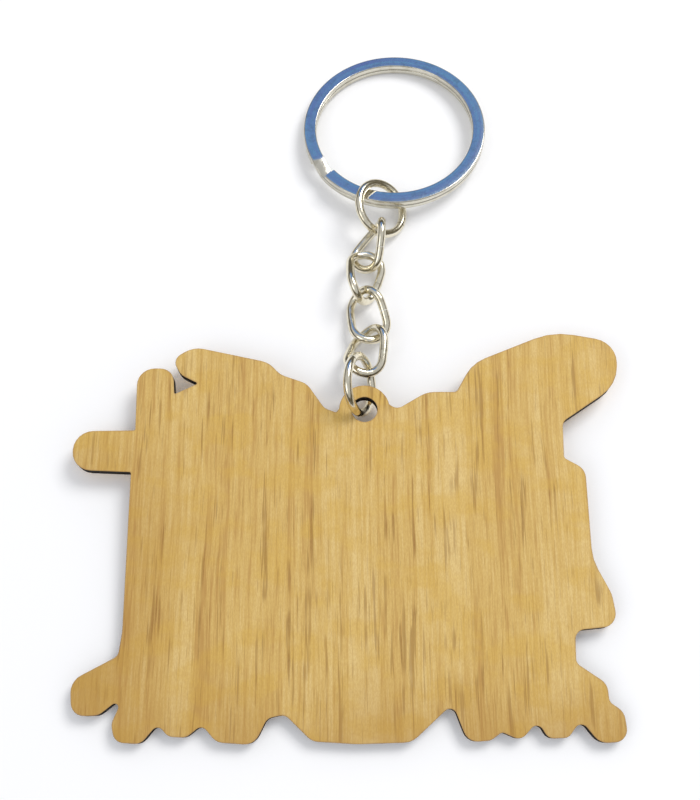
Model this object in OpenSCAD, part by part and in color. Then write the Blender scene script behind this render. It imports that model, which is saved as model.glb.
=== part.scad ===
// Souvenir keychain: a laser-cut plywood plate, an end ring through its tab,
// four twisted chain links, a jump ring and a split key ring. Millimetres,
// +Z up. It lies on the plane z = 0 with the chain running towards +Y.

/* [Plate] */
// Overall width of the plate, across the chain
plate_w = 67.4; // [52:0.1:84]
// Overall length of the plate, along the chain
plate_l = 49; // [38:0.1:62]
// Thickness of each outer veneer
veneer_t = 0.4; // [0.3:0.05:0.55]
// Thickness of the core ply
core_t = 0.7; // [0.55:0.05:0.95]

/* [Tab and hole] */
// Diameter of the hole that the end ring passes through
hole_d = 3.2; // [2.9:0.05:4]
// Wood left between the hole and the edge of the tab
tab_wall = 1.55; // [1.2:0.05:1.9]

/* [Wire] */
// Diameter of the round wire of the rings and the links
wire_d = 1.1; // [0.9:0.01:1.35]
// Free play between two pieces that hook together
play = 0.13; // [0.1:0.01:0.2]

/* [Jump rings] */
// Inner diameter of the ring through the plate
end_ring_id = 6; // [5:0.05:7.2]
// Inner diameter of the ring between the chain and the split ring
jump_ring_id = 6; // [5:0.05:7.2]
// Width of the cut where a jump ring closes
ring_cut = 0.12; // [0.06:0.01:0.3]

/* [Chain links] */
// Inner length of a link
link_in_l = 5.8; // [4.8:0.05:7]
// Inner width of a link before it is twisted
link_in_w = 3.4; // [2.8:0.05:4.1]
// Twist from the middle of a link to each of its ends
link_twist = 30; // [24:1:36]

/* [Split ring] */
// Outer diameter of the split ring
split_od = 25; // [20:0.5:32]
// Width of its flat wire, across the ring
split_band = 1.7; // [1.4:0.05:2.1]
// Thickness of one turn of its flat wire
split_turn = 0.75; // [0.6:0.01:0.9]
// Gap between the two turns
split_gap = 0.05; // [0.03:0.01:0.1]
// Arc taken by the crossover between the turns, in degrees
split_cross = 15; // [12:1:24]

/* [Hidden] */
$fn = 96;
EPS = 0.01;

// ---- Plate: outline drawn round the hole, as x, y and corner radius ----
draw_w = 67.4;
draw_l = 49;
draw_south = 39.5;
OUTLINE = [
    // left arm and the upright beside it
    [-28.3, -2.7, 0.2], [-35.8, -2.8, 2.5], [-35.8, -7.7, 2.5],
    [-28.5, -8, 0.2], [-28.3, -27, 2],
    // lower left foot
    [-28.6, -29.8, 1], [-33.9, -32.6, 2], [-33.5, -36.5, 2], [-30.4, -36.4, 1.5],
    [-27.6, -34.2, 0.6], [-28.9, -37.3, 1.6], [-28.4, -39.3, 1.8],
    [-25.4, -39.5, 1.4], [-23.6, -37.3, 0.8], [-22.4, -38.7, 1.4],
    [-20.3, -38.8, 1.4], [-18.6, -37.4, 0.8], [-16.9, -39.3, 1.8],
    [-12.6, -39.6, 1.8], [-11.2, -36.7, 1.2], [-9.2, -36.3, 1.2],
    [-6.1, -39.2, 1.8],
    // lower edge and the right foot
    [-1, -39.5, 9], [5.2, -39.3, 2.4], [9.9, -35.1, 0.8], [11.5, -39.3, 1.6],
    [14.1, -39.1, 1.4], [15.4, -38.2, 0.5], [17.5, -39.1, 1.2],
    [19.5, -37, 0.8], [20.6, -38.9, 1.1], [22.9, -38.8, 1.1],
    [24.4, -36.9, 0.8], [26.4, -39.4, 1.8], [29.7, -39.2, 1.8],
    [29.4, -36, 1.6], [27.8, -34.9, 0.9], [27.7, -32.9, 1.6],
    [24.3, -30.6, 0.9], [24.4, -26.9, 1.2], [29.5, -26.4, 1.8],
    [29, -22.7, 3], [27, -18.6, 6], [26.9, -7.6, 1.8], [24.4, -6.2, 0.5],
    [24.5, -1.6, 1.2],
    // right dome
    [31.6, 3.2, 5], [32, 8.9, 4.2], [24, 10.4, 9], [13.6, 6.1, 5],
    [11.5, 2.3, 0.6], [7.8, 2.3, 3.5], [4, 0, 1.2], [2.4, 1.2, 0],
    // left shoulder, notch and the upright's top
    [-2.4, 1.2, 0], [-3.5, -0.4, 0.3], [-5, 0.2, 1.4], [-7.2, 3.4, 2.2],
    [-10.6, 4.6, 2.5], [-12, 6.2, 3], [-21.6, 8.3, 3.2], [-24.2, 6.6, 1.9],
    [-23, 4.5, 2], [-20.8, 3.4, 0.15], [-23.7, 2, 0.15], [-24, 5.4, 2],
    [-28.5, 5.4, 2.2]
];

plate_t = 2 * veneer_t + core_t;
plate_x = plate_w / draw_w;
plate_y = plate_l / draw_l;

// ---- Lie of the pieces on the table ----
// the plate's tab is propped up on the wire of the end ring, which is not level
hole_at = [2.05, -7.5];
WIRE_SLOPE = 0.5;
plate_lift = wire_d + WIRE_SLOPE;
plate_tilt = asin(plate_lift / (draw_south * plate_y));

// each ring and link is turned by [pitch, roll, yaw]
END_TURN = [0, 65, -6];
JUMP_TURN = [3, 34, -5];
// how far each link, and then the jump ring, hooks back over the piece before
// it, from end to end, in units of the wire and its play
LINK_HOOKS = [[-0.12, -1.34], [0.09, -1.28], [-0.23, -1.08], [-0.76, -1.43]];
JUMP_HOOK = [-0.25, -0.9];
// how far its neighbours hold each link off the table
LINK_RAISE = [0.05, 0.29, 0.25, 0.03];

// a link is drawn as this many rings of points, with this many sides to its wire
RINGS = 44;
SIDES = 12;

pitch_step = wire_d + play;
end_r = (end_ring_id + wire_d) / 2;
jump_r = (jump_ring_id + wire_d) / 2;
link_half = (link_in_l + wire_d) / 2;
link_r = (link_in_w + wire_d) / 2;
oval_len = 2 * PI * link_r + 4 * (link_half - link_r);

// the end ring stands on its wire and threads the hole a little off its middle
THREAD_OFF = 0.23;
end_z = standing(end_r, END_TURN);
thread_z = plate_lift + plate_t / 2;
thread_slack = THREAD_OFF * (hole_d - wire_d) / 2;
thread_fall = asin((end_z - thread_z) / (end_r * sin(END_TURN[1])));
thread_at = [hole_at[0] - thread_slack, hole_at[1] - thread_slack, thread_z];
end_at = thread_at - turned(END_TURN, end_r * [sin(thread_fall), -cos(thread_fall), 0]);

// the chain is hooked up from the end ring towards the split ring; the end ring
// holds up the near end of the first link, which it leaves so many wires lower
FIRST_DROP = 2.13;
first_pitch = -asin((end_z - FIRST_DROP * wire_d) / (2 * link_half));
LINK_TURNS = [[first_pitch, -20, -12], [4, -18, 12], [-8, 34, -10], [18, -50, -24]];
function link_start(i) =
    i == 0 ? end_at + turned(END_TURN, [0, end_r, 0]) : link_stop(i - 1);
function link_low(i) = min([for (n = [0:RINGS - 1]) turned(LINK_TURNS[i], centre(n))[2]]);
function link_at(i) =
    let (reach = turned(LINK_TURNS[i], [0, link_half, 0]),
         at = flat(link_start(i)) + pitch_step * LINK_HOOKS[i] + flat(reach))
    [at[0], at[1], wire_d / 2 + LINK_RAISE[i] - link_low(i)];
function link_stop(i) = link_at(i) + turned(LINK_TURNS[i], [0, link_half, 0]);
jump_south = flat(link_stop(3)) + pitch_step * JUMP_HOOK;
jump_xy = jump_south - flat(turned(JUMP_TURN, [0, -jump_r, 0]));
jump_at = [jump_xy[0], jump_xy[1], standing(jump_r, JUMP_TURN)];

// the split ring leans on the jump ring, its far side on the table; its near
// edge lies this far from the middle of the jump ring
SPLIT_SHIFT = [1.96, 0.18];
split_h = 2 * split_turn + split_gap;
split_lean = asin((jump_at[2] + play - split_h / 2) / split_od);
split_roll = -1.2;
split_at = [jump_at[0] + SPLIT_SHIFT[0], jump_at[1] + SPLIT_SHIFT[1] + split_od / 2,
            split_od / 2 * sin(norm([split_lean, split_roll]))];
// angle at which the upper turn starts to run down, seen from above
split_from = 204.5;

// ---- Geometry helpers ----
function rot_x(a, p) = [p[0], p[1] * cos(a) - p[2] * sin(a), p[1] * sin(a) + p[2] * cos(a)];
function rot_y(a, p) = [p[0] * cos(a) + p[2] * sin(a), p[1], p[2] * cos(a) - p[0] * sin(a)];
function rot_z(a, p) = [p[0] * cos(a) - p[1] * sin(a), p[0] * sin(a) + p[1] * cos(a), p[2]];
// a point turned as a piece is: roll about Y, then pitch about X, then yaw about Z
function turned(t, p) = rot_z(t[2], rot_x(t[0], rot_y(t[1], p)));
// height of the centre of a tilted ring that stands on its wire
function standing(r, t) = wire_d / 2 + r * sqrt(1 - pow(cos(t[0]) * cos(t[1]), 2)) + EPS;
function unit(v) = v / norm(v);
function flat(p) = [p[0], p[1]];

// the arc that rounds corner b, between its neighbours a and c
function corner(a, b, c, r) =
    let (u = unit(a - b), v = unit(c - b), half = acos(u * v) / 2,
         reach = min(r / tan(half), 0.48 * min(norm(a - b), norm(c - b))),
         mid = b + unit(u + v) * reach / cos(half),
         from = b + u * reach - mid, to = b + v * reach - mid,
         a0 = atan2(from[1], from[0]), d = atan2(to[1], to[0]) - a0,
         sweep = d > 180 ? d - 360 : d < -180 ? d + 360 : d,
         n = max(1, ceil(abs(sweep) / 15)))
    [for (k = [0:n]) mid + norm(from) * [cos(a0 + sweep * k / n), sin(a0 + sweep * k / n)]];

function rounded(list) =
    let (n = len(list))
    [for (i = [0:n - 1])
        let (b = list[i], arc = b[2] > 0
            ? corner(flat(list[(i + n - 1) % n]), flat(b), flat(list[(i + 1) % n]), b[2])
            : [flat(b)])
        for (p = arc) p];

// one point of a link's centre line, from its distance along the flat oval
function oval(s) =
    let (arc = PI * link_r, side = 2 * (link_half - link_r), y1 = side / 2)
    s < arc ? link_r * [cos(s / link_r * 180 / PI), sin(s / link_r * 180 / PI)] + [0, y1]
    : s < arc + side ? [-link_r, y1 - (s - arc)]
    : s < 2 * arc + side
        ? -link_r * [cos((s - arc - side) / link_r * 180 / PI),
                     sin((s - arc - side) / link_r * 180 / PI)] - [0, y1]
    : [link_r, (s - 2 * arc - side) - y1];
function twist_at(y) = link_twist * y / link_half;
function twisted(p) = [p[0] * cos(twist_at(p[1])), p[1], p[0] * sin(twist_at(p[1]))];

function centre(i) = twisted(oval(((i + RINGS) % RINGS) * oval_len / RINGS));
function rim(i) =
    let (c = centre(i), a = twist_at(c[1]), ahead = unit(centre(i + 1) - centre(i - 1)),
         side = unit(cross([-sin(a), 0, cos(a)], ahead)), top = cross(ahead, side))
    [for (k = [0:SIDES - 1])
        c + wire_d / 2 * (cos(k * 360 / SIDES) * side + sin(k * 360 / SIDES) * top)];

// ---- Pieces ----
module plate_ply(from, thick) {
    translate([hole_at[0], hole_at[1], plate_lift])
        rotate([plate_tilt, 0, 0])
            translate([0, 0, from])
                difference() {
                    union() {
                        linear_extrude(thick)
                            polygon(rounded([for (p = OUTLINE)
                                [p[0] * plate_x, p[1] * plate_y, p[2] * min(plate_x, plate_y)]]));
                        cylinder(h = thick, d = hole_d + 2 * tab_wall);
                    }
                    translate([0, 0, -1])
                        cylinder(h = thick + 2, d = hole_d);
                }
}

module front_veneer() {
    color("burlywood") plate_ply(0, veneer_t);
}

module core_ply() {
    color("sienna") plate_ply(veneer_t, core_t);
}

module back_veneer() {
    color("burlywood") plate_ply(veneer_t + core_t, veneer_t);
}

module placed(at, turn) {
    translate(at)
        rotate([0, 0, turn[2]])
            rotate([turn[0], 0, 0])
                rotate([0, turn[1], 0])
                    children();
}

// a round-wire ring, cut through where it closes
END_CUT_AT = 140;
JUMP_CUT_AT = 335;
module wire_ring(r, cut_at) {
    gap = ring_cut / r * 180 / PI;
    rotate([0, 0, cut_at + gap / 2])
        rotate_extrude(angle = 360 - gap)
            translate([r, 0])
                circle(d = wire_d);
}

module end_ring() {
    color("lightgrey") placed(end_at, END_TURN) wire_ring(end_r, END_CUT_AT);
}

module jump_ring() {
    color("lightgrey") placed(jump_at, JUMP_TURN) wire_ring(jump_r, JUMP_CUT_AT);
}

module chain_link(i) {
    points = [for (n = [0:RINGS - 1]) for (p = rim(n)) p];
    faces = [for (n = [0:RINGS - 1]) for (k = [0:SIDES - 1])
        let (m = (n + 1) % RINGS, j = (k + 1) % SIDES)
        [n * SIDES + k, m * SIDES + k, m * SIDES + j, n * SIDES + j]];
    color("silver") placed(link_at(i), LINK_TURNS[i]) polyhedron(points, faces, convexity = 4);
}

// part of a turn of the split ring's flat wire
module split_arc(from, sweep, z, h) {
    translate([0, 0, z])
        rotate([0, 0, from])
            rotate_extrude(angle = sweep)
                translate([split_od / 2 - split_band, 0])
                    square([split_band, h]);
}

module split_ring() {
    rise = split_turn + split_gap;
    mid_r = (split_od - split_band) / 2;
    run = mid_r * sin(split_cross / 2);
    end_cut = 1;
    color("gainsboro")
        translate(split_at)
            rotate([-split_lean, split_roll, 0]) {
                split_arc(split_from + split_cross + end_cut, 360 - split_cross - end_cut + EPS,
                          rise, split_turn);
                split_arc(split_from + split_cross - EPS, 360 - split_cross - end_cut + EPS,
                          0, split_turn);
                intersection() {
                    split_arc(split_from, split_cross, 0, split_h);
                    rotate([0, 0, split_from + split_cross / 2])
                        translate([split_od / 2 + 1, 0, 0])
                            rotate([0, -90, 0])
                                linear_extrude(split_band + 3)
                                    polygon([[rise, -2 * run], [rise, -run], [0, run],
                                             [0, 2 * run], [split_turn, 2 * run],
                                             [split_turn, run], [split_h, -run],
                                             [split_h, -2 * run]]);
                }
            }
}

back_veneer();
core_ply();
front_veneer();
end_ring();
chain_link(3);  // chain_link_1
chain_link(2);  // chain_link_2
chain_link(1);  // chain_link_3
chain_link(0);  // chain_link_4
jump_ring();
split_ring();
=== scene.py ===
import logging
import math
from dataclasses import dataclass, field
from enum import Enum

import bmesh
import bpy
import numpy as np
from mathutils import Matrix, Vector
from mathutils.geometry import delaunay_2d_cdt


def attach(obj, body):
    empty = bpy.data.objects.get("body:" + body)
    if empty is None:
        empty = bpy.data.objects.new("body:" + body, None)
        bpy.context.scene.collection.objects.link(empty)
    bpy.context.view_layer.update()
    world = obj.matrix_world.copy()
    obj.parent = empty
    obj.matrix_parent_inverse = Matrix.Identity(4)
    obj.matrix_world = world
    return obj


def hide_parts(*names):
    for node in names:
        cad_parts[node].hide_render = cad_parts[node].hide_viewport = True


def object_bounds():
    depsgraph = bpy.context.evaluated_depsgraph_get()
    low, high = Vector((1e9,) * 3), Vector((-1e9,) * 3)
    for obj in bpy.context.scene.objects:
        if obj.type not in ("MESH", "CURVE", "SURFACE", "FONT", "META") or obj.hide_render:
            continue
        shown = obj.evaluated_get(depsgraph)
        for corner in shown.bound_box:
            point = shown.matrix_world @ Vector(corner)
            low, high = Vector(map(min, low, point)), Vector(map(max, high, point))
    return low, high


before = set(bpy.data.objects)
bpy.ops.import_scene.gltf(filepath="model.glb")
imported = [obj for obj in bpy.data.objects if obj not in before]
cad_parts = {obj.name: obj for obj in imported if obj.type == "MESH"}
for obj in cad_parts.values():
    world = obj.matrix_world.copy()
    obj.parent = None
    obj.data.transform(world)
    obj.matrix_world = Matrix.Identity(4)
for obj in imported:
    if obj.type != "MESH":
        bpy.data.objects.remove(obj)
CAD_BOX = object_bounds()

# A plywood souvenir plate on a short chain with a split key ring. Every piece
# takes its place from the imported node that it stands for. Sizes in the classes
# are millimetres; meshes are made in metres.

LOG = logging.getLogger("keychain")
MM = 0.001
SAME_PLACE = 1e-7    # metres, vertices of a node that are one point
NO_LENGTH = 1e-8     # metres, an edge that is no edge
PARALLEL = 0.99      # cosine above which two faces look the same way
WITHIN_HOLE = 0.99   # share of a hole's radius that its triangles stay inside
MITRE_LIMIT = 0.6    # keeps a sharp corner from reaching too far
Colour = tuple[float, float, float, float]


def screen(red: int, green: int, blue: int) -> Colour:
    """Turn a screen colour into the linear one that a shader takes.

    Args:
        red: Red, 0 to 255.
        green: Green, 0 to 255.
        blue: Blue, 0 to 255.

    Returns:
        Linear red, green and blue, with an alpha of 1.
    """
    def linear(value: int) -> float:
        """Return one channel in linear light."""
        share = value / 255
        return share / 12.92 if share <= 0.04045 else ((share + 0.055) / 1.055) ** 2.4

    return linear(red), linear(green), linear(blue), 1.0


# ---------------------------------------------------------------- shader maths


class Term:
    """A shader socket that can be used in a Python expression."""

    def __init__(self, graph: "Graph", socket: bpy.types.NodeSocket) -> None:
        """Wrap a socket.

        Args:
            graph: The graph that new nodes go to.
            socket: The output socket.
        """
        self.graph = graph
        self.socket = socket

    def _maths(self, operation: str, first: object, second: object) -> "Term":
        """Return a Math node's result for two values or terms."""
        return self.graph.node("ShaderNodeMath", {"operation": operation}, {0: first, 1: second})

    def __add__(self, other: object) -> "Term":
        """Return self + other."""
        return self._maths("ADD", self, other)

    def __radd__(self, other: object) -> "Term":
        """Return other + self."""
        return self._maths("ADD", other, self)

    def __sub__(self, other: object) -> "Term":
        """Return self - other."""
        return self._maths("SUBTRACT", self, other)

    def __rsub__(self, other: object) -> "Term":
        """Return other - self."""
        return self._maths("SUBTRACT", other, self)

    def __mul__(self, other: object) -> "Term":
        """Return self * other."""
        return self._maths("MULTIPLY", self, other)

    def __rmul__(self, other: object) -> "Term":
        """Return other * self."""
        return self._maths("MULTIPLY", other, self)

    def smooth(self, low: float, high: float) -> "Term":
        """Ease from 0 to 1.

        Args:
            low: The value at which the result leaves 0.
            high: The value at which it reaches 1.

        Returns:
            The eased term.
        """
        settings = {"interpolation_type": "SMOOTHSTEP"}
        values = {"Value": self, "From Min": low, "From Max": high}
        return self.graph.node("ShaderNodeMapRange", settings, values)


class Graph:
    """A material's node tree while it is being built."""

    def __init__(self, name: str) -> None:
        """Start an empty material.

        Args:
            name: The material's name.
        """
        self.material = bpy.data.materials.new(name)
        self.material.use_nodes = True
        self.tree = self.material.node_tree
        self.tree.nodes.clear()

    def node(self, kind: str, settings: dict[str, object], inputs: dict[object, object],
             output: int = 0) -> Term:
        """Add any node.

        Args:
            kind: The node's type.
            settings: Its properties, set before its inputs.
            inputs: Values or terms by the input's name or number.
            output: The number of the output to return.

        Returns:
            The chosen output.
        """
        node = self.tree.nodes.new(kind)
        for name, value in settings.items():
            setattr(node, name, value)
        for key, value in inputs.items():
            if isinstance(value, Term):
                self.tree.links.new(value.socket, node.inputs[key])
            else:
                node.inputs[key].default_value = value
        return Term(self, node.outputs[output])

    def place_mm(self) -> Term:
        """Return the place on the object, in millimetres."""
        coordinates = self.node("ShaderNodeTexCoord", {}, {}, 3)
        return self.stretch(coordinates, (1 / MM, 1 / MM, 1 / MM))

    def stretch(self, vector: Term, scale: tuple[float, float, float]) -> Term:
        """Return a vector with each part multiplied by its own scale."""
        inputs = {0: vector, 1: scale}
        return self.node("ShaderNodeVectorMath", {"operation": "MULTIPLY"}, inputs)

    def shift(self, vector: Term, offset: object) -> Term:
        """Return a vector with another one added."""
        return self.node("ShaderNodeVectorMath", {"operation": "ADD"}, {0: vector, 1: offset})

    def noise(self, vector: Term, detail: float = 2.0, roughness: float = 0.5) -> Term:
        """Return smooth noise, from 0 to 1, with features about one unit wide.

        Args:
            vector: Where to read it.
            detail: How many finer octaves are added.
            roughness: How strong they are.

        Returns:
            The noise.
        """
        values = {"Vector": vector, "Scale": 1.0, "Detail": detail, "Roughness": roughness}
        return self.node("ShaderNodeTexNoise", {}, values)

    def attribute(self, name: str) -> Term:
        """Return a mesh attribute's number."""
        return self.node("ShaderNodeAttribute", {"attribute_name": name}, {}, 2)

    def mix(self, share: object, first: object, second: object) -> Term:
        """Blend two colours.

        Args:
            share: How much of the second colour there is, 0 to 1.
            first: A colour or a term.
            second: A colour or a term.

        Returns:
            The blended colour.
        """
        inputs = {0: share, 6: first, 7: second}
        return self.node("ShaderNodeMix", {"data_type": "RGBA"}, inputs, 2)

    def bump(self, height: Term, depth_mm: float) -> Term:
        """Return a normal bent by a height map.

        Args:
            height: The height, 0 to 1.
            depth_mm: The height that 1 stands for.

        Returns:
            The normal.
        """
        return self.node("ShaderNodeBump", {}, {"Height": height, "Distance": depth_mm * MM})

    def finish(self, values: dict[str, object]) -> bpy.types.Material:
        """Add the surface shader and return the material.

        Args:
            values: Values or terms for the shader's sockets.

        Returns:
            The finished material.
        """
        surface = self.node("ShaderNodeBsdfPrincipled", {}, values)
        output = self.tree.nodes.new("ShaderNodeOutputMaterial")
        self.tree.links.new(surface.socket, output.inputs["Surface"])
        return self.material


# -------------------------------------------------------------------- finishes


@dataclass(frozen=True)
class PlywoodFinish:
    """Bare light plywood with a straight grain and laser-charred walls."""

    name: str = "plywood"
    pale: Colour = screen(231, 202, 136)
    honey: Colour = screen(216, 181, 106)
    gold: Colour = screen(214, 174, 78)
    tan: Colour = screen(192, 150, 84)
    amber: Colour = screen(168, 122, 54)
    streak: Colour = screen(132, 88, 36)
    toast: Colour = screen(176, 138, 92)
    char: Colour = screen(26, 20, 17)
    ash: Colour = screen(66, 48, 36)

    def _grain(self, g: Graph, place: Term) -> tuple[Term, Term]:
        """Draw the veneer's grain.

        Args:
            g: The material's graph.
            place: The place on the object, in millimetres.

        Returns:
            The colour, and the height of the fibres from 0 to 1.
        """
        # every stretch gives features per millimetre across, along and through the grain
        sway = g.noise(g.stretch(place, (0.06, 0.03, 0.0)), 1.0) - 0.5
        grain = g.shift(place, g.node("ShaderNodeCombineXYZ", {}, {"X": sway * 1.3}))
        broad = g.noise(g.stretch(grain, (0.12, 0.012, 0.0)), 2.0)
        bands = g.noise(g.stretch(grain, (0.95, 0.016, 0.3)), 3.0, 0.6)
        fibre = g.noise(g.stretch(grain, (4.2, 0.16, 0.5)), 4.0, 0.7)
        tone = broad * 0.25 + bands * 0.4 + fibre * 0.35
        colour = g.mix(tone.smooth(0.4, 0.5), self.tan, self.honey)
        colour = g.mix(tone.smooth(0.48, 0.6) * 0.85, colour, self.pale)
        golden = g.noise(g.stretch(grain, (0.2, 0.05, 7.1)), 2.0).smooth(0.45, 0.65)
        colour = g.mix(golden * 0.45, colour, self.gold)
        lines = g.noise(g.stretch(grain, (1.8, 0.018, 1.7)), 2.0, 0.6).smooth(0.575, 0.65)
        patch = g.noise(g.stretch(grain, (0.35, 0.08, 4.1)), 1.0).smooth(0.36, 0.56)
        colour = g.mix(lines * patch * 0.5, colour, self.streak)
        pores = g.noise(g.stretch(grain, (5.6, 0.2, 3.3)), 2.0, 0.5).smooth(0.6, 0.72)
        colour = g.mix(pores * 0.3, colour, self.streak)
        speck = g.noise(g.stretch(grain, (9.0, 2.6, 5.3)), 2.0, 0.6).smooth(0.4, 0.6)
        colour = g.mix(speck * 0.3, colour, self.tan)
        # amber laid over the wood by place, darker towards its left and lower edges
        colour = g.mix(self._age(g, place) * 0.5, colour, self.amber)
        return colour, fibre * 0.6 - pores * 0.5 - lines * patch * 0.4

    def _age(self, g: Graph, place: Term) -> Term:
        """Return how much darker the wood is made by place, most towards its left and lower edges.
        """
        across = g.node("ShaderNodeSeparateXYZ", {}, {0: place}, 0)
        along = g.node("ShaderNodeSeparateXYZ", {}, {0: place}, 1)
        cloud = g.noise(g.stretch(place, (0.09, 0.05, 0.0)), 2.0) * 14.0 - 7.0
        left = (-13.0 - across + cloud).smooth(0.0, 22.0) * (-6.0 - along).smooth(0.0, 18.0)
        low = (-36.0 - along + cloud).smooth(0.0, 16.0)
        return 1.0 - (1.0 - left) * (1.0 - low)

    def material(self) -> bpy.types.Material:
        """Build the material.

        Returns:
            A material that reads the attributes rim and char.
        """
        g = Graph(self.name)
        place = g.place_mm()
        colour, height = self._grain(g, place)
        rim = g.attribute("rim")
        flicker = g.noise(g.stretch(place, (0.5, 0.5, 0.5)), 3.0, 0.6)
        colour = g.mix((rim + flicker * 0.4 - 0.2).smooth(0.66, 1.05) * 0.55, colour, self.toast)
        soot = g.noise(g.stretch(place, (2.2, 2.2, 0.8)), 4.0, 0.7)
        burnt = g.mix(soot.smooth(0.5, 0.75) * 0.6, self.char, self.ash)
        wall = g.attribute("char").smooth(0.45, 0.95)
        return g.finish({
            "Base Color": g.mix(wall, colour, burnt),
            "Roughness": 0.6 + height * 0.1 + wall * 0.2,
            "Normal": g.bump(height, 0.02),
            "Specular IOR Level": 0.25,
        })


class Plating(Enum):
    """The two nickel finishes on the metal parts."""

    WIRE = "wire"
    KEY_RING = "key_ring_steel"


@dataclass(frozen=True)
class NickelFinish:
    """Bright nickel plate with fine rubbed marks."""

    plating: Plating
    bright: Colour
    dull: Colour
    roughness: float

    def material(self) -> bpy.types.Material:
        """Build the material.

        Returns:
            A metal whose tint and polish vary a little over the piece.
        """
        g = Graph("nickel_" + self.plating.value)
        place = g.place_mm()
        cloud = g.noise(g.stretch(place, (0.9, 0.9, 0.9)), 3.0, 0.6)
        rubbed = g.noise(g.stretch(place, (7.0, 1.4, 7.0)), 3.0, 0.7)
        return g.finish({
            "Base Color": g.mix(cloud.smooth(0.45, 0.75) * 0.7, self.bright, self.dull),
            "Metallic": 1.0,
            "Roughness": self.roughness + cloud * 0.05 + rubbed.smooth(0.5, 0.8) * 0.06,
            "Normal": g.bump(rubbed * 0.5 + cloud * 0.5, 0.012),
        })


# ------------------------------------------------------------------ placements


@dataclass(frozen=True)
class Placement:
    """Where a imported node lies: its own axes and its middle, in metres."""

    matrix: Matrix

    @staticmethod
    def _triangles(node: str) -> np.ndarray:
        """Return a node's triangles as an array of corners, in metres."""
        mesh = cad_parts[node].data
        mesh.calc_loop_triangles()
        corners = np.array([v.co for v in mesh.vertices])
        return corners[np.array([t.vertices for t in mesh.loop_triangles])]

    @staticmethod
    def _assemble(x: np.ndarray, y: np.ndarray, z: np.ndarray, at: np.ndarray) -> "Placement":
        """Return the placement with these axes and this middle."""
        matrix = Matrix.Identity(4)
        for column, axis in enumerate((x, y, z, at)):
            for row in range(3):
                matrix[row][column] = float(axis[row])
        return Placement(matrix)

    @classmethod
    def of_oval(cls, node: str) -> "Placement":
        """Place a link by its axes of symmetry.

        Args:
            node: The CAD node's name.

        Returns:
            Y along the link, Z across its thinnest way, pointing up.
        """
        tri = cls._triangles(node)
        area = np.linalg.norm(np.cross(tri[:, 1] - tri[:, 0], tri[:, 2] - tri[:, 0]), axis=1)
        middle = tri.mean(axis=1)
        at = (middle * area[:, None]).sum(0) / area.sum()
        arm = middle - at
        _, axes = np.linalg.eigh((arm * area[:, None]).T @ arm)
        z = axes[:, 0] * (1 if axes[2, 0] > 0 else -1)
        y = axes[:, 2] * (1 if axes[1, 2] > 0 else -1)
        return cls._assemble(np.cross(y, z), y, z, at)

    @classmethod
    def of_ring(cls, node: str, flat: bool = False) -> "Placement":
        """Place a round ring by its plane and its outline.

        Args:
            node: The CAD node's name.
            flat: Whether the ring's flat faces give its plane.

        Returns:
            Z along the ring's axis, pointing up, Y as near the chain's way as it goes.
        """
        tri = cls._triangles(node)
        normal = np.cross(tri[:, 1] - tri[:, 0], tri[:, 2] - tri[:, 0])
        area = np.linalg.norm(normal, axis=1)
        if flat:
            up = normal[(normal[:, 2] > 0.98 * area) & (area > 0)]
            z = np.median(up / np.linalg.norm(up, axis=1)[:, None], axis=0)
        else:
            middle = tri.mean(axis=1)
            arm = middle - (middle * area[:, None]).sum(0) / area.sum()
            z = np.linalg.eigh((arm * area[:, None]).T @ arm)[1][:, 0]
        z = z / np.linalg.norm(z) * (1 if z[2] > 0 else -1)
        y = np.array([0.0, 1.0, 0.0]) - z[1] * z
        y /= np.linalg.norm(y)
        x = np.cross(y, z)
        local = tri.reshape(-1, 3) @ np.stack([x, y, z], axis=1)
        at = (local.min(0) + local.max(0)) / 2 @ np.stack([x, y, z])
        return cls._assemble(x, y, z, at)


# ------------------------------------------------------------------ sweep trees


class Profile(Enum):
    """The section of a swept wire."""

    ROUND = "round_wire"
    FLAT = "flat_wire"


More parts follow.
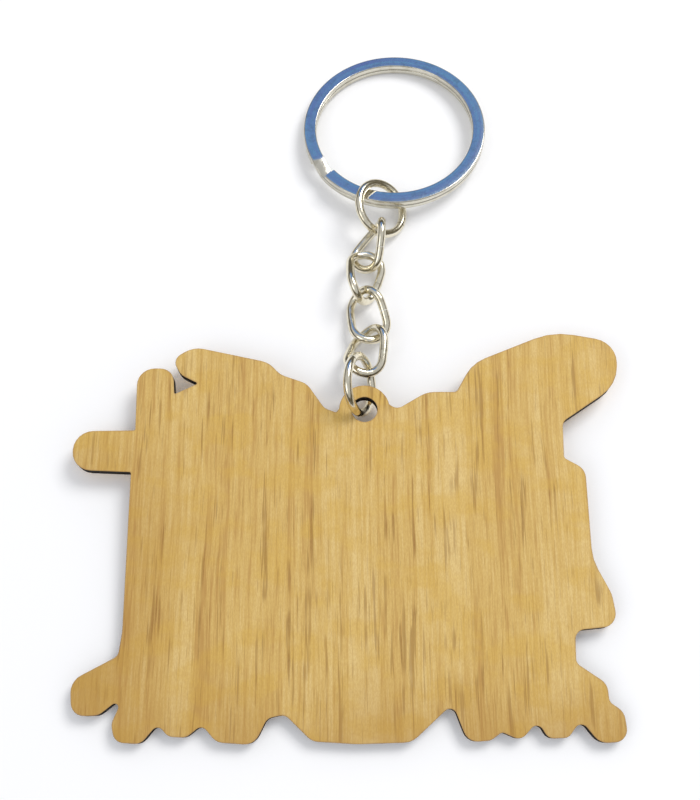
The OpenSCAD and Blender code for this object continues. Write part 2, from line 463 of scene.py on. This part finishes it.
@dataclass
class WireSweep:
    """A Geometry Nodes tree that sweeps a wire's section along a path."""

    profile: Profile
    tree: bpy.types.NodeTree = field(init=False)
    ids: dict[str, str] = field(init=False, default_factory=dict)

    def __post_init__(self) -> None:
        """Build the tree once, when the object is made."""
        self.tree = bpy.data.node_groups.new(self.profile.value, "GeometryNodeTree")
        self._socket("Path", "NodeSocketGeometry")
        self.tree.interface.new_socket("Wire", in_out="OUTPUT", socket_type="NodeSocketGeometry")
        for name in ("Width", "Thickness", "Edge radius"):
            self._socket(name, "NodeSocketFloat")
        self._socket("Steps", "NodeSocketInt")
        self._socket("Finish", "NodeSocketMaterial")
        given = self.tree.nodes.new("NodeGroupInput").outputs
        section = self._round(given) if self.profile is Profile.ROUND else self._flat(given)
        path = self._node("GeometryNodeSetCurveNormal", {}, {"Curve": given["Path"]})
        path.node.mode = "Z_UP" if self.profile is Profile.FLAT else "MINIMUM_TWIST"
        swept = self._node("GeometryNodeCurveToMesh", {}, {"Curve": path, "Profile Curve": section,
                                                          "Fill Caps": True})
        smooth = self._node("GeometryNodeSetShadeSmooth", {}, {"Geometry": swept})
        real = self._node("GeometryNodeRealizeInstances", {}, {"Geometry": smooth})
        dressed = self._node("GeometryNodeSetMaterial", {}, {"Geometry": real,
                                                            "Material": given["Finish"]})
        out = self.tree.nodes.new("NodeGroupOutput")
        self.tree.links.new(dressed, out.inputs[0])

    def _socket(self, name: str, kind: str) -> None:
        """Add a named input and keep its identifier."""
        made = self.tree.interface.new_socket(name, in_out="INPUT", socket_type=kind)
        self.ids[name] = made.identifier

    def _node(self, kind: str, settings: dict[str, object],
              inputs: dict[str, object]) -> bpy.types.NodeSocket:
        """Add a node and return its first output.

        Args:
            kind: The node's type.
            settings: Its properties.
            inputs: Sockets or values by input name.

        Returns:
            The node's first output.
        """
        node = self.tree.nodes.new(kind)
        for name, value in settings.items():
            setattr(node, name, value)
        for name, value in inputs.items():
            if isinstance(value, bpy.types.NodeSocket):
                self.tree.links.new(value, node.inputs[name])
            else:
                node.inputs[name].default_value = value
        return node.outputs[0]

    def _round(self, given: bpy.types.bpy_prop_collection) -> bpy.types.NodeSocket:
        """Return a round section."""
        half = self._node("ShaderNodeMath", {"operation": "MULTIPLY"}, {})
        self.tree.links.new(given["Width"], half.node.inputs[0])
        half.node.inputs[1].default_value = 0.5
        return self._node("GeometryNodeCurvePrimitiveCircle", {},
                          {"Resolution": given["Steps"], "Radius": half})

    def _flat(self, given: bpy.types.bpy_prop_collection) -> bpy.types.NodeSocket:
        """Return a flat section with rounded edges."""
        box = self._node("GeometryNodeCurvePrimitiveQuadrilateral", {},
                         {"Width": given["Width"], "Height": given["Thickness"]})
        return self._node("GeometryNodeFilletCurve", {"mode": "POLY"},
                          {"Curve": box, "Count": given["Steps"], "Radius": given["Edge radius"]})

    def mesh(self, name: str, points: list[Vector], closed: bool, sizes: dict[str, object],
             finish: bpy.types.Material, at: Placement) -> bpy.types.Object:
        """Sweep the section along a path and return a plain mesh object.

        Args:
            name: The piece's name.
            points: The path in the piece's own axes, millimetres, with a scale in w.
            closed: Whether the path joins up.
            sizes: Values for the tree's named inputs, millimetres.
            finish: The material.
            at: Where the piece lies.

        Returns:
            The piece, at the origin with its place in its mesh.
        """
        path = bpy.data.curves.new(name + "_path", "CURVE")
        path.dimensions = "3D"
        spline = path.splines.new("POLY")
        spline.points.add(len(points) - 1)
        for point, (x, y, z, scale) in zip(spline.points, points):
            point.co = (x * MM, y * MM, z * MM, 1.0)
            point.radius = scale
        spline.use_cyclic_u = closed
        carrier = bpy.data.objects.new(name + "_path", path)
        bpy.context.scene.collection.objects.link(carrier)
        sweep = carrier.modifiers.new("sweep", "NODES")
        sweep.node_group = self.tree
        for key, value in sizes.items():
            sweep[self.ids[key]] = value if isinstance(value, int) else value * MM
        sweep[self.ids["Finish"]] = finish
        bpy.context.view_layer.update()
        graph = bpy.context.evaluated_depsgraph_get()
        mesh = bpy.data.meshes.new_from_object(carrier.evaluated_get(graph), depsgraph=graph)
        bpy.data.objects.remove(carrier)
        mesh.name = name
        mesh.transform(at.matrix)
        outward(mesh)
        piece = bpy.data.objects.new(name, mesh)
        bpy.context.scene.collection.objects.link(piece)
        return piece


def outward(mesh: bpy.types.Mesh) -> None:
    """Turn every face of a closed mesh outwards."""
    work = bmesh.new()
    work.from_mesh(mesh)
    bmesh.ops.recalc_face_normals(work, faces=work.faces)
    work.to_mesh(mesh)
    work.free()


def hand_over(piece: bpy.types.Object, node: str, body: str) -> None:
    """Hang a piece on its body and hide the CAD node that it replaces.

    Args:
        piece: The finished piece.
        node: The CAD node that it replaces.
        body: The body that it rides on.
    """
    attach(piece, body)
    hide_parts(node)
    LOG.info("%s: %d faces on %s", piece.name, len(piece.data.polygons), body)


# --------------------------------------------------------------- sub-assemblies


class Side(Enum):
    """Which outer edges of a ply are softened."""

    TOP = "top"
    BOTTOM = "bottom"
    NEITHER = "neither"


@dataclass
class PlyMesh:
    """One ply's mesh while it is being built, on its own plane."""

    axes: np.ndarray
    base: np.ndarray
    work: bmesh.types.BMesh = field(init=False, default_factory=bmesh.new)
    merge: float = 2e-7

    def __post_init__(self) -> None:
        """Add the attributes that the finish reads."""
        self.rim = self.work.verts.layers.float.new("rim")
        self.char = self.work.verts.layers.float.new("char")

    def corner(self, place: tuple, height: float, at_rim: float,
               at_wall: float) -> bmesh.types.BMVert:
        """Add a vertex.

        Args:
            place: Its place in the ply's plane.
            height: Its height above the ply's lower face.
            at_rim: How near it is to the rim, 0 to 1.
            at_wall: How charred it is, 0 to 1.

        Returns:
            The vertex.
        """
        spot = self.axes.T @ np.array([place[0], place[1], height]) + self.base
        vert = self.work.verts.new(spot)
        vert[self.rim] = at_rim
        vert[self.char] = at_wall
        return vert

    def wall(self, rows: list[list[bmesh.types.BMVert]]) -> None:
        """Join closed rows of vertices, from the bottom up."""
        for lower, upper in zip(rows, rows[1:]):
            for i in range(len(lower)):
                j = (i + 1) % len(lower)
                self.work.faces.new((lower[i], lower[j], upper[j], upper[i]))

    def finish(self, name: str, material: bpy.types.Material) -> bpy.types.Object:
        """Merge what meets and return the ply as a plain mesh object.

        Args:
            name: The piece's name.
            material: Its finish.

        Returns:
            The piece.
        """
        work = self.work
        bmesh.ops.remove_doubles(work, verts=work.verts, dist=self.merge)
        bmesh.ops.dissolve_degenerate(work, edges=work.edges, dist=NO_LENGTH)
        loose = [v for v in work.verts if not v.link_faces]
        bmesh.ops.delete(work, geom=loose, context="VERTS")
        bmesh.ops.recalc_face_normals(work, faces=work.faces)
        mesh = bpy.data.meshes.new(name)
        work.to_mesh(mesh)
        work.free()
        mesh.materials.append(material)
        piece = bpy.data.objects.new(name, mesh)
        bpy.context.scene.collection.objects.link(piece)
        return piece


@dataclass
class PlywoodPlate:
    """The laser-cut plate: two veneers on a core."""

    finish: PlywoodFinish
    edge_soft: float = 0.07
    core_inset: float = 0.03
    rim_widths: tuple[float, ...] = (0.3, 0.6)
    rim_reach: float = 0.6

    def _outline(self, node: str) -> tuple[list[np.ndarray], float, np.ndarray, np.ndarray]:
        """Read a ply's outline from its node.

        Args:
            node: The CAD node's name.

        Returns:
            The loops in the ply's plane with wood on their left, the thickness,
            the plane's axes as rows, and a corner of its lower face. All in metres.
        """
        work = bmesh.new()
        work.from_mesh(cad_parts[node].data)
        bmesh.ops.remove_doubles(work, verts=work.verts, dist=SAME_PLACE)
        biggest = max(work.faces, key=lambda f: f.calc_area() * (f.normal.z > 0.9))
        up = np.array(biggest.normal)
        along = np.array([1.0, 0.0, 0.0]) - up[0] * up
        along /= np.linalg.norm(along)
        axes = np.stack([along, np.cross(up, along), up])
        follow: dict[int, int] = {}
        where: dict[int, np.ndarray] = {}
        for edge in work.edges:
            tops = [f for f in edge.link_faces if f.normal.dot(biggest.normal) > PARALLEL]
            if len(tops) != 1:
                continue
            loop = next(lo for lo in edge.link_loops if lo.face == tops[0])
            follow[loop.vert.index] = loop.link_loop_next.vert.index
            where[loop.vert.index] = axes @ np.array(loop.vert.co)
        heights = [float((axes @ np.array(v.co))[2]) for v in work.verts]
        work.free()
        loops = []
        while follow:
            start = next(iter(follow))
            loop, here = [], start
            while here in follow:
                loop.append(where[here][:2])
                here = follow.pop(here)
            loops.append(np.array(loop))
        loops.sort(key=len, reverse=True)
        low = min(heights)
        return loops, max(heights) - low, axes, axes.T @ np.array([0.0, 0.0, low])

    @staticmethod
    def _inset(loop: np.ndarray, by: float) -> np.ndarray:
        """Move a loop sideways into the wood.

        Args:
            loop: The outline, with wood on its left.
            by: How far, in metres.

        Returns:
            The moved outline.
        """
        ahead = np.roll(loop, -1, axis=0) - loop
        ahead /= np.maximum(np.linalg.norm(ahead, axis=1), 1e-12)[:, None]
        left = np.stack([-ahead[:, 1], ahead[:, 0]], axis=1)
        both = left + np.roll(left, 1, axis=0)
        both /= np.maximum((both * both).sum(1) / 2, MITRE_LIMIT)[:, None]
        return loop + both * by

    def _face(self, loops: list[np.ndarray], inner: list[np.ndarray]) -> tuple[list, list]:
        """Fill a ply's flat face.

        Args:
            loops: The edge of the flat face.
            inner: Further loops that the triangles must follow.

        Returns:
            The points and the triangles.
        """
        points: list[Vector] = []
        faces: list[list[int]] = []
        for loop in loops + inner:
            first = len(points)
            points += [Vector(p) for p in loop]
            faces.append(list(range(first, len(points))))
        made, _, triangles, *_ = delaunay_2d_cdt(points, [], faces, 1, NO_LENGTH)
        hole = loops[1]
        middle = hole.mean(0)
        radius = np.linalg.norm(hole - middle, axis=1).min()
        corners = np.array([list(p) for p in made])
        kept = [t for t in triangles
                if np.linalg.norm(corners[list(t)].mean(0) - middle) > radius * WITHIN_HOLE]
        return [tuple(p) for p in corners], kept

    @staticmethod
    def _distance(points: np.ndarray, loops: list[np.ndarray]) -> np.ndarray:
        """Return each point's distance from the nearest edge, in metres."""
        best = np.full(len(points), 1.0)
        for loop in loops:
            start, step = loop, np.roll(loop, -1, axis=0) - loop
            length = np.maximum((step * step).sum(1), 1e-16)
            for a, d, n in zip(start, step, length):
                share = np.clip(((points - a) @ d) / n, 0, 1)
                best = np.minimum(best, np.linalg.norm(points - a - share[:, None] * d, axis=1))
        return best

    def _profile(self, side: Side, thick: float) -> list[tuple[float, float, float]]:
        """Work out the section of a ply's edge.

        Args:
            side: Which outer edge is softened.
            thick: The ply's thickness, in metres.

        Returns:
            How far in, how high and how charred the edge is, from the bottom up.
        """
        soft = self.edge_soft * MM
        bend = (1 - math.cos(math.pi / 4)) * soft
        lower, upper = [(0.0, 0.0, 1.0)], [(0.0, thick, 1.0)]
        if side is Side.TOP:
            upper = [(0.0, thick - soft, 1.0), (bend, thick - bend, 0.5), (soft, thick, 0.0)]
        elif side is Side.BOTTOM:
            lower = [(soft, 0.0, 0.0), (bend, bend, 0.5), (0.0, soft, 1.0)]
        return lower + upper

    def _cap(self, ply: PlyMesh, loops: list[np.ndarray], height: float, inset: float) -> None:
        """Close a ply with one of its flat faces.

        Args:
            ply: The ply's mesh.
            loops: The ply's outlines.
            height: The height of the face.
            inset: How far in its edge is, which is nothing on a glued face.
        """
        shown = inset > 0
        inner = []
        if shown:
            inner = [self._inset(loop, w * MM) for loop in loops for w in self.rim_widths]
        points, triangles = self._face([self._inset(loop, inset) for loop in loops], inner)
        far = self._distance(np.array(points), loops)
        at_rim = np.clip(1 - far / (self.rim_reach * MM), 0, 1)
        verts = [ply.corner(p, height, float(r), 0.0 if shown else 1.0)
                 for p, r in zip(points, at_rim)]
        for t in triangles:
            order = t if height > 0 else t[::-1]
            ply.work.faces.new([verts[k] for k in order])

    def _ply(self, node: str, name: str, side: Side, finish: bpy.types.Material) -> None:
        """Build one ply and hand it over.

        Args:
            node: The CAD node that it stands for.
            name: The piece's name.
            side: Which outer edge is softened.
            finish: The material.
        """
        loops, thick, axes, base = self._outline(node)
        if side is Side.NEITHER:
            loops = [self._inset(loop, self.core_inset * MM) for loop in loops]
        ply = PlyMesh(axes, base)
        profile = self._profile(side, thick)
        for loop in loops:
            ply.wall([[ply.corner(p, height, 1.0, wall) for p in self._inset(loop, inset)]
                      for inset, height, wall in profile])
        for inset, height, _ in (profile[0], profile[-1]):
            self._cap(ply, loops, height, inset)
        hand_over(ply.finish(name, finish), node, "plate")

    def build(self) -> None:
        """Build the three plies."""
        finish = self.finish.material()
        self._ply("back_veneer", "veneer_with_grain", Side.TOP, finish)
        self._ply("core_ply", "charred_core", Side.NEITHER, finish)
        self._ply("front_veneer", "veneer_face_down", Side.BOTTOM, finish)


@dataclass
class JumpRing:
    """A round-wire ring, cut through where it closes."""

    node: str
    cut_at: float
    outer: float = 8.2
    wire: float = 1.1
    gap: float = 0.1
    points: int = 120
    steps: int = 24

    def build(self, sweep: WireSweep, finish: bpy.types.Material) -> None:
        """Sweep the ring and hand it over.

        Args:
            sweep: The round-wire tree.
            finish: The material.
        """
        radius = (self.outer - self.wire) / 2
        half_gap = self.gap / 2 / radius
        first = math.radians(self.cut_at) + half_gap
        span = 2 * math.pi - 2 * half_gap
        path = []
        for share in worn_steps(self.points, span * radius):
            angle = first + span * share[0]
            path.append((radius * math.cos(angle), radius * math.sin(angle), 0.0, share[1]))
        piece = sweep.mesh(self.node + "_wire", path, False,
                           {"Width": self.wire, "Steps": self.steps}, finish,
                           Placement.of_ring(self.node))
        hand_over(piece, self.node, self.node)


def worn_steps(count: int, length: float, wear: float = 0.07) -> list[tuple[float, float]]:
    """Space points along a cut wire whose two ends are slightly rounded.

    Args:
        count: How many points there are between the ends.
        length: The wire's length, millimetres.
        wear: How far the rounding reaches, millimetres.

    Returns:
        Shares of the length with the section's scale at each.
    """
    reach = wear / length
    ends = [(0.0, 0.86), (reach * 0.35, 0.95), (reach, 1.0)]
    inside = [(reach + (1 - 2 * reach) * k / count, 1.0) for k in range(1, count)]
    return ends + inside + [(1 - share, scale) for share, scale in reversed(ends)]


@dataclass
class ChainLink:
    """An oval link, twisted about its length and butted at one side."""

    node: str
    length: float = 8.0
    width: float = 5.6
    wire: float = 1.1
    twist: float = 30.0
    seam: float = 0.05
    points: int = 132
    steps: int = 20

    def _oval(self, along: float) -> tuple[float, float]:
        """Return a point of the flat oval, from its distance along it."""
        radius = (self.width - self.wire) / 2
        straight = self.length - self.wire - 2 * radius
        arc = math.pi * radius
        half = straight / 2
        along %= 2 * (arc + straight)
        if along < half:
            return radius, along
        if along < half + arc:
            angle = (along - half) / radius
            return radius * math.cos(angle), half + radius * math.sin(angle)
        if along < half + arc + straight:
            return -radius, half - (along - half - arc)
        if along < half + 2 * arc + straight:
            angle = math.pi + (along - half - arc - straight) / radius
            return radius * math.cos(angle), -half + radius * math.sin(angle)
        return radius, along - 2 * (arc + straight)

    def build(self, sweep: WireSweep, finish: bpy.types.Material) -> None:
        """Sweep the link and hand it over.

        Args:
            sweep: The round-wire tree.
            finish: The material.
        """
        radius = (self.width - self.wire) / 2
        round_trip = 2 * (math.pi * radius + self.length - self.wire - 2 * radius)
        half_length = (self.length - self.wire) / 2
        path = []
        for share, scale in worn_steps(self.points, round_trip):
            x, y = self._oval(self.seam / 2 + (round_trip - self.seam) * share)
            turn = math.radians(self.twist) * y / half_length
            path.append((x * math.cos(turn), y, x * math.sin(turn), scale))
        piece = sweep.mesh(self.node + "_wire", path, False,
                           {"Width": self.wire, "Steps": self.steps}, finish,
                           Placement.of_oval(self.node))
        hand_over(piece, self.node, self.node)


@dataclass
class SplitRing:
    """A key ring: two turns of flat wire with a crossover between them."""

    node: str = "split_ring"
    outer: float = 25.0
    band: float = 1.7
    turn: float = 0.75
    gap: float = 0.05
    cross_from: float = 204.5
    cross_span: float = 15.0
    end_cut: float = 1.0
    edge_radius: float = 0.16
    step: float = 2.0

    def _height(self, angle: float) -> float:
        """Return the middle of the wire above the ring's middle plane.

        Args:
            angle: How far round the ring, from the upper turn's free end.

        Returns:
            The height, millimetres.
        """
        rise = (self.turn + self.gap) / 2
        slope_start = 360.0 - self.cross_span - self.end_cut
        share = min(max((angle - slope_start) / self.cross_span, 0.0), 1.0)
        return rise * (1 - 2 * share * share * (3 - 2 * share))

    def build(self, sweep: WireSweep, finish: bpy.types.Material) -> None:
        """Sweep both turns and hand the ring over.

        Args:
            sweep: The flat-wire tree.
            finish: The material.
        """
        radius = (self.outer - self.band) / 2
        first = self.cross_from + self.cross_span + self.end_cut
        whole = 2 * (360.0 - self.end_cut) - self.cross_span
        path = []
        for share, scale in worn_steps(int(whole / self.step), math.radians(whole) * radius):
            angle = whole * share
            turned = math.radians(first + angle)
            path.append((radius * math.cos(turned), radius * math.sin(turned),
                         self._height(angle), scale))
        sizes = {"Width": self.band, "Thickness": self.turn, "Edge radius": self.edge_radius,
                 "Steps": 4}
        piece = sweep.mesh("split_ring_band", path, False, sizes, finish,
                           Placement.of_ring(self.node, flat=True))
        hand_over(piece, self.node, self.node)


# ----------------------------------------------------------------------- studio


@dataclass
class Studio:
    """A pale floor, soft lights and the camera. Distances are millimetres."""

    aim: tuple[float, float, float] = (0.25, -5.2, 0.0)
    distance: float = 134.0
    elevation: float = 70.0
    lens: float = 47.25
    sensor: float = 36.0
    floor_size: float = 4000.0
    floor_drop: float = 0.02
    card_half: float = 110.0
    card_at: tuple[float, float, float] = (0.0, 250.0, 230.0)
    card_tilt: float = 135.0
    wall_sides: int = 48
    wall_reach: float = 420.0
    wall_foot: float = 15.0
    wall_height: float = 230.0
    room_tint: Colour = (0.94, 0.955, 1.0, 1.0)
    room_light: float = 0.62

    def _lamp(self, name: str, at: tuple[float, float, float], side: float, tint: Colour,
              watts: float) -> None:
        """Hang a square soft light that faces the middle of the table.

        Args:
            name: The light's name.
            at: Where it hangs.
            side: Its width and height.
            tint: Its colour.
            watts: Its power.
        """
        lamp = bpy.data.lights.new(name, "AREA")
        lamp.shape = "RECTANGLE"
        lamp.size = lamp.size_y = side * MM
        lamp.energy = watts
        lamp.color = tint[:3]
        holder = bpy.data.objects.new(name, lamp)
        holder.location = Vector(at) * MM
        holder.rotation_euler = (-Vector(at)).to_track_quat("-Z", "Y").to_euler()
        bpy.context.scene.collection.objects.link(holder)

    def _floor(self) -> None:
        """Lay the pale floor."""
        half = self.floor_size * MM / 2
        mesh = bpy.data.meshes.new("floor")
        mesh.from_pydata([(-half, -half, 0), (half, -half, 0), (half, half, 0), (-half, half, 0)],
                         [], [(0, 1, 2, 3)])
        g = Graph("floor")
        mesh.materials.append(g.finish({"Base Color": (0.96, 0.96, 0.965, 1.0), "Roughness": 0.9,
                                        "Specular IOR Level": 0.1,
                                        "Emission Color": (1.0, 1.0, 1.0, 1.0),
                                        "Emission Strength": 0.06}))
        floor = bpy.data.objects.new("floor", mesh)
        floor.location = (0, 0, CAD_BOX[0].z - self.floor_drop * MM)
        bpy.context.scene.collection.objects.link(floor)

    def _mirror_card(self, name: str, corners: list[tuple], faces: list[tuple],
                     material: bpy.types.Material) -> bpy.types.Object:
        """Hang a card that only polished metal mirrors.

        Args:
            name: The card's name.
            corners: Its corners in metres.
            faces: Its faces, by corner.
            material: What it glows with.

        Returns:
            The card.
        """
        mesh = bpy.data.meshes.new(name)
        mesh.from_pydata(corners, [], faces)
        mesh.materials.append(material)
        card = bpy.data.objects.new(name, mesh)
        card.visible_camera = False
        card.visible_diffuse = False
        card.visible_shadow = False
        bpy.context.scene.collection.objects.link(card)
        return card

    def _blue_card(self) -> None:
        """Hang the blue card that colours the key ring's flat top."""
        half = self.card_half * MM
        g = Graph("blue_card")
        drift = g.noise(g.stretch(g.place_mm(), (0.034, 0.034, 0.0)), 1.0)
        blue = g.mix(drift.smooth(0.43, 0.57), screen(108, 124, 212), screen(114, 178, 238))
        material = g.finish({"Base Color": (0, 0, 0, 1), "Emission Color": blue,
                             "Emission Strength": 1.0, "Roughness": 1.0,
                             "Specular IOR Level": 0.0})
        corners = [(-half, -half, 0), (half, -half, 0), (half, half, 0), (-half, half, 0)]
        card = self._mirror_card("blue_card", corners, [(0, 1, 2, 3)], material)
        card.location = Vector(self.card_at) * MM
        card.rotation_euler = (math.radians(self.card_tilt), 0, 0)

    def _dark_wall(self) -> None:
        """Stand the dark wall round the table that gives the wires their contrast."""
        g = Graph("dark_wall")
        material = g.finish({"Base Color": (0, 0, 0, 1), "Emission Color": screen(96, 90, 74),
                             "Emission Strength": 1.0, "Roughness": 1.0,
                             "Specular IOR Level": 0.0})
        count = 2 * self.wall_sides
        corners = []
        for k in range(self.wall_sides):
            angle = 2 * math.pi * k / self.wall_sides
            x = self.wall_reach * MM * math.cos(angle)
            y = self.wall_reach * MM * math.sin(angle)
            corners += [(x, y, self.wall_foot * MM), (x, y, self.wall_height * MM)]
        faces = [(k, k + 1, (k + 3) % count, (k + 2) % count) for k in range(0, count, 2)]
        self._mirror_card("dark_wall", corners, faces, material)

    def _sky(self) -> None:
        """Set the even light of the room."""
        world = bpy.data.worlds.new("room")
        world.use_nodes = True
        back = world.node_tree.nodes["Background"]
        back.inputs["Color"].default_value = self.room_tint
        back.inputs["Strength"].default_value = self.room_light
        bpy.context.scene.world = world

    def _camera(self) -> None:
        """Stand the camera at its place."""
        lens = bpy.data.cameras.new("camera")
        lens.lens = self.lens
        lens.sensor_fit = "VERTICAL"
        lens.sensor_height = self.sensor
        lens.clip_start = 0.01
        camera = bpy.data.objects.new("camera", lens)
        tilt = math.radians(self.elevation)
        back = Vector((0, -math.cos(tilt), math.sin(tilt))) * self.distance
        camera.location = (Vector(self.aim) + back) * MM
        camera.rotation_euler = (math.radians(90 - self.elevation), 0, 0)
        bpy.context.scene.collection.objects.link(camera)
        bpy.context.scene.camera = camera

    def build(self) -> None:
        """Set up the camera, the floor and the lights."""
        bpy.context.scene.view_settings.view_transform = "Standard"
        self._camera()
        self._floor()
        self._blue_card()
        self._dark_wall()
        self._sky()
        self._lamp("key", (260, 240, 420), 260, (1.0, 0.99, 0.97, 1.0), 1.5)
        self._lamp("fill", (-300, -260, 380), 300, (1.0, 1.0, 1.0, 1.0), 0.35)


def main() -> None:
    """Build the studio and every piece, in order."""
    logging.basicConfig(level=logging.INFO, format="%(name)s %(message)s")
    Studio().build()
    PlywoodPlate(PlywoodFinish()).build()
    wire = NickelFinish(Plating.WIRE, screen(236, 229, 208), screen(200, 190, 162), 0.15)
    flat = NickelFinish(Plating.KEY_RING, screen(216, 212, 198), screen(190, 184, 166), 0.12)
    round_sweep = WireSweep(Profile.ROUND)
    wire_finish = wire.material()
    JumpRing("end_ring", cut_at=140.0).build(round_sweep, wire_finish)
    for number in range(4, 0, -1):
        ChainLink(f"chain_link_{number}").build(round_sweep, wire_finish)
    JumpRing("jump_ring", cut_at=335.0).build(round_sweep, wire_finish)
    SplitRing().build(WireSweep(Profile.FLAT), flat.material())


if __name__ == "__main__":
    main()
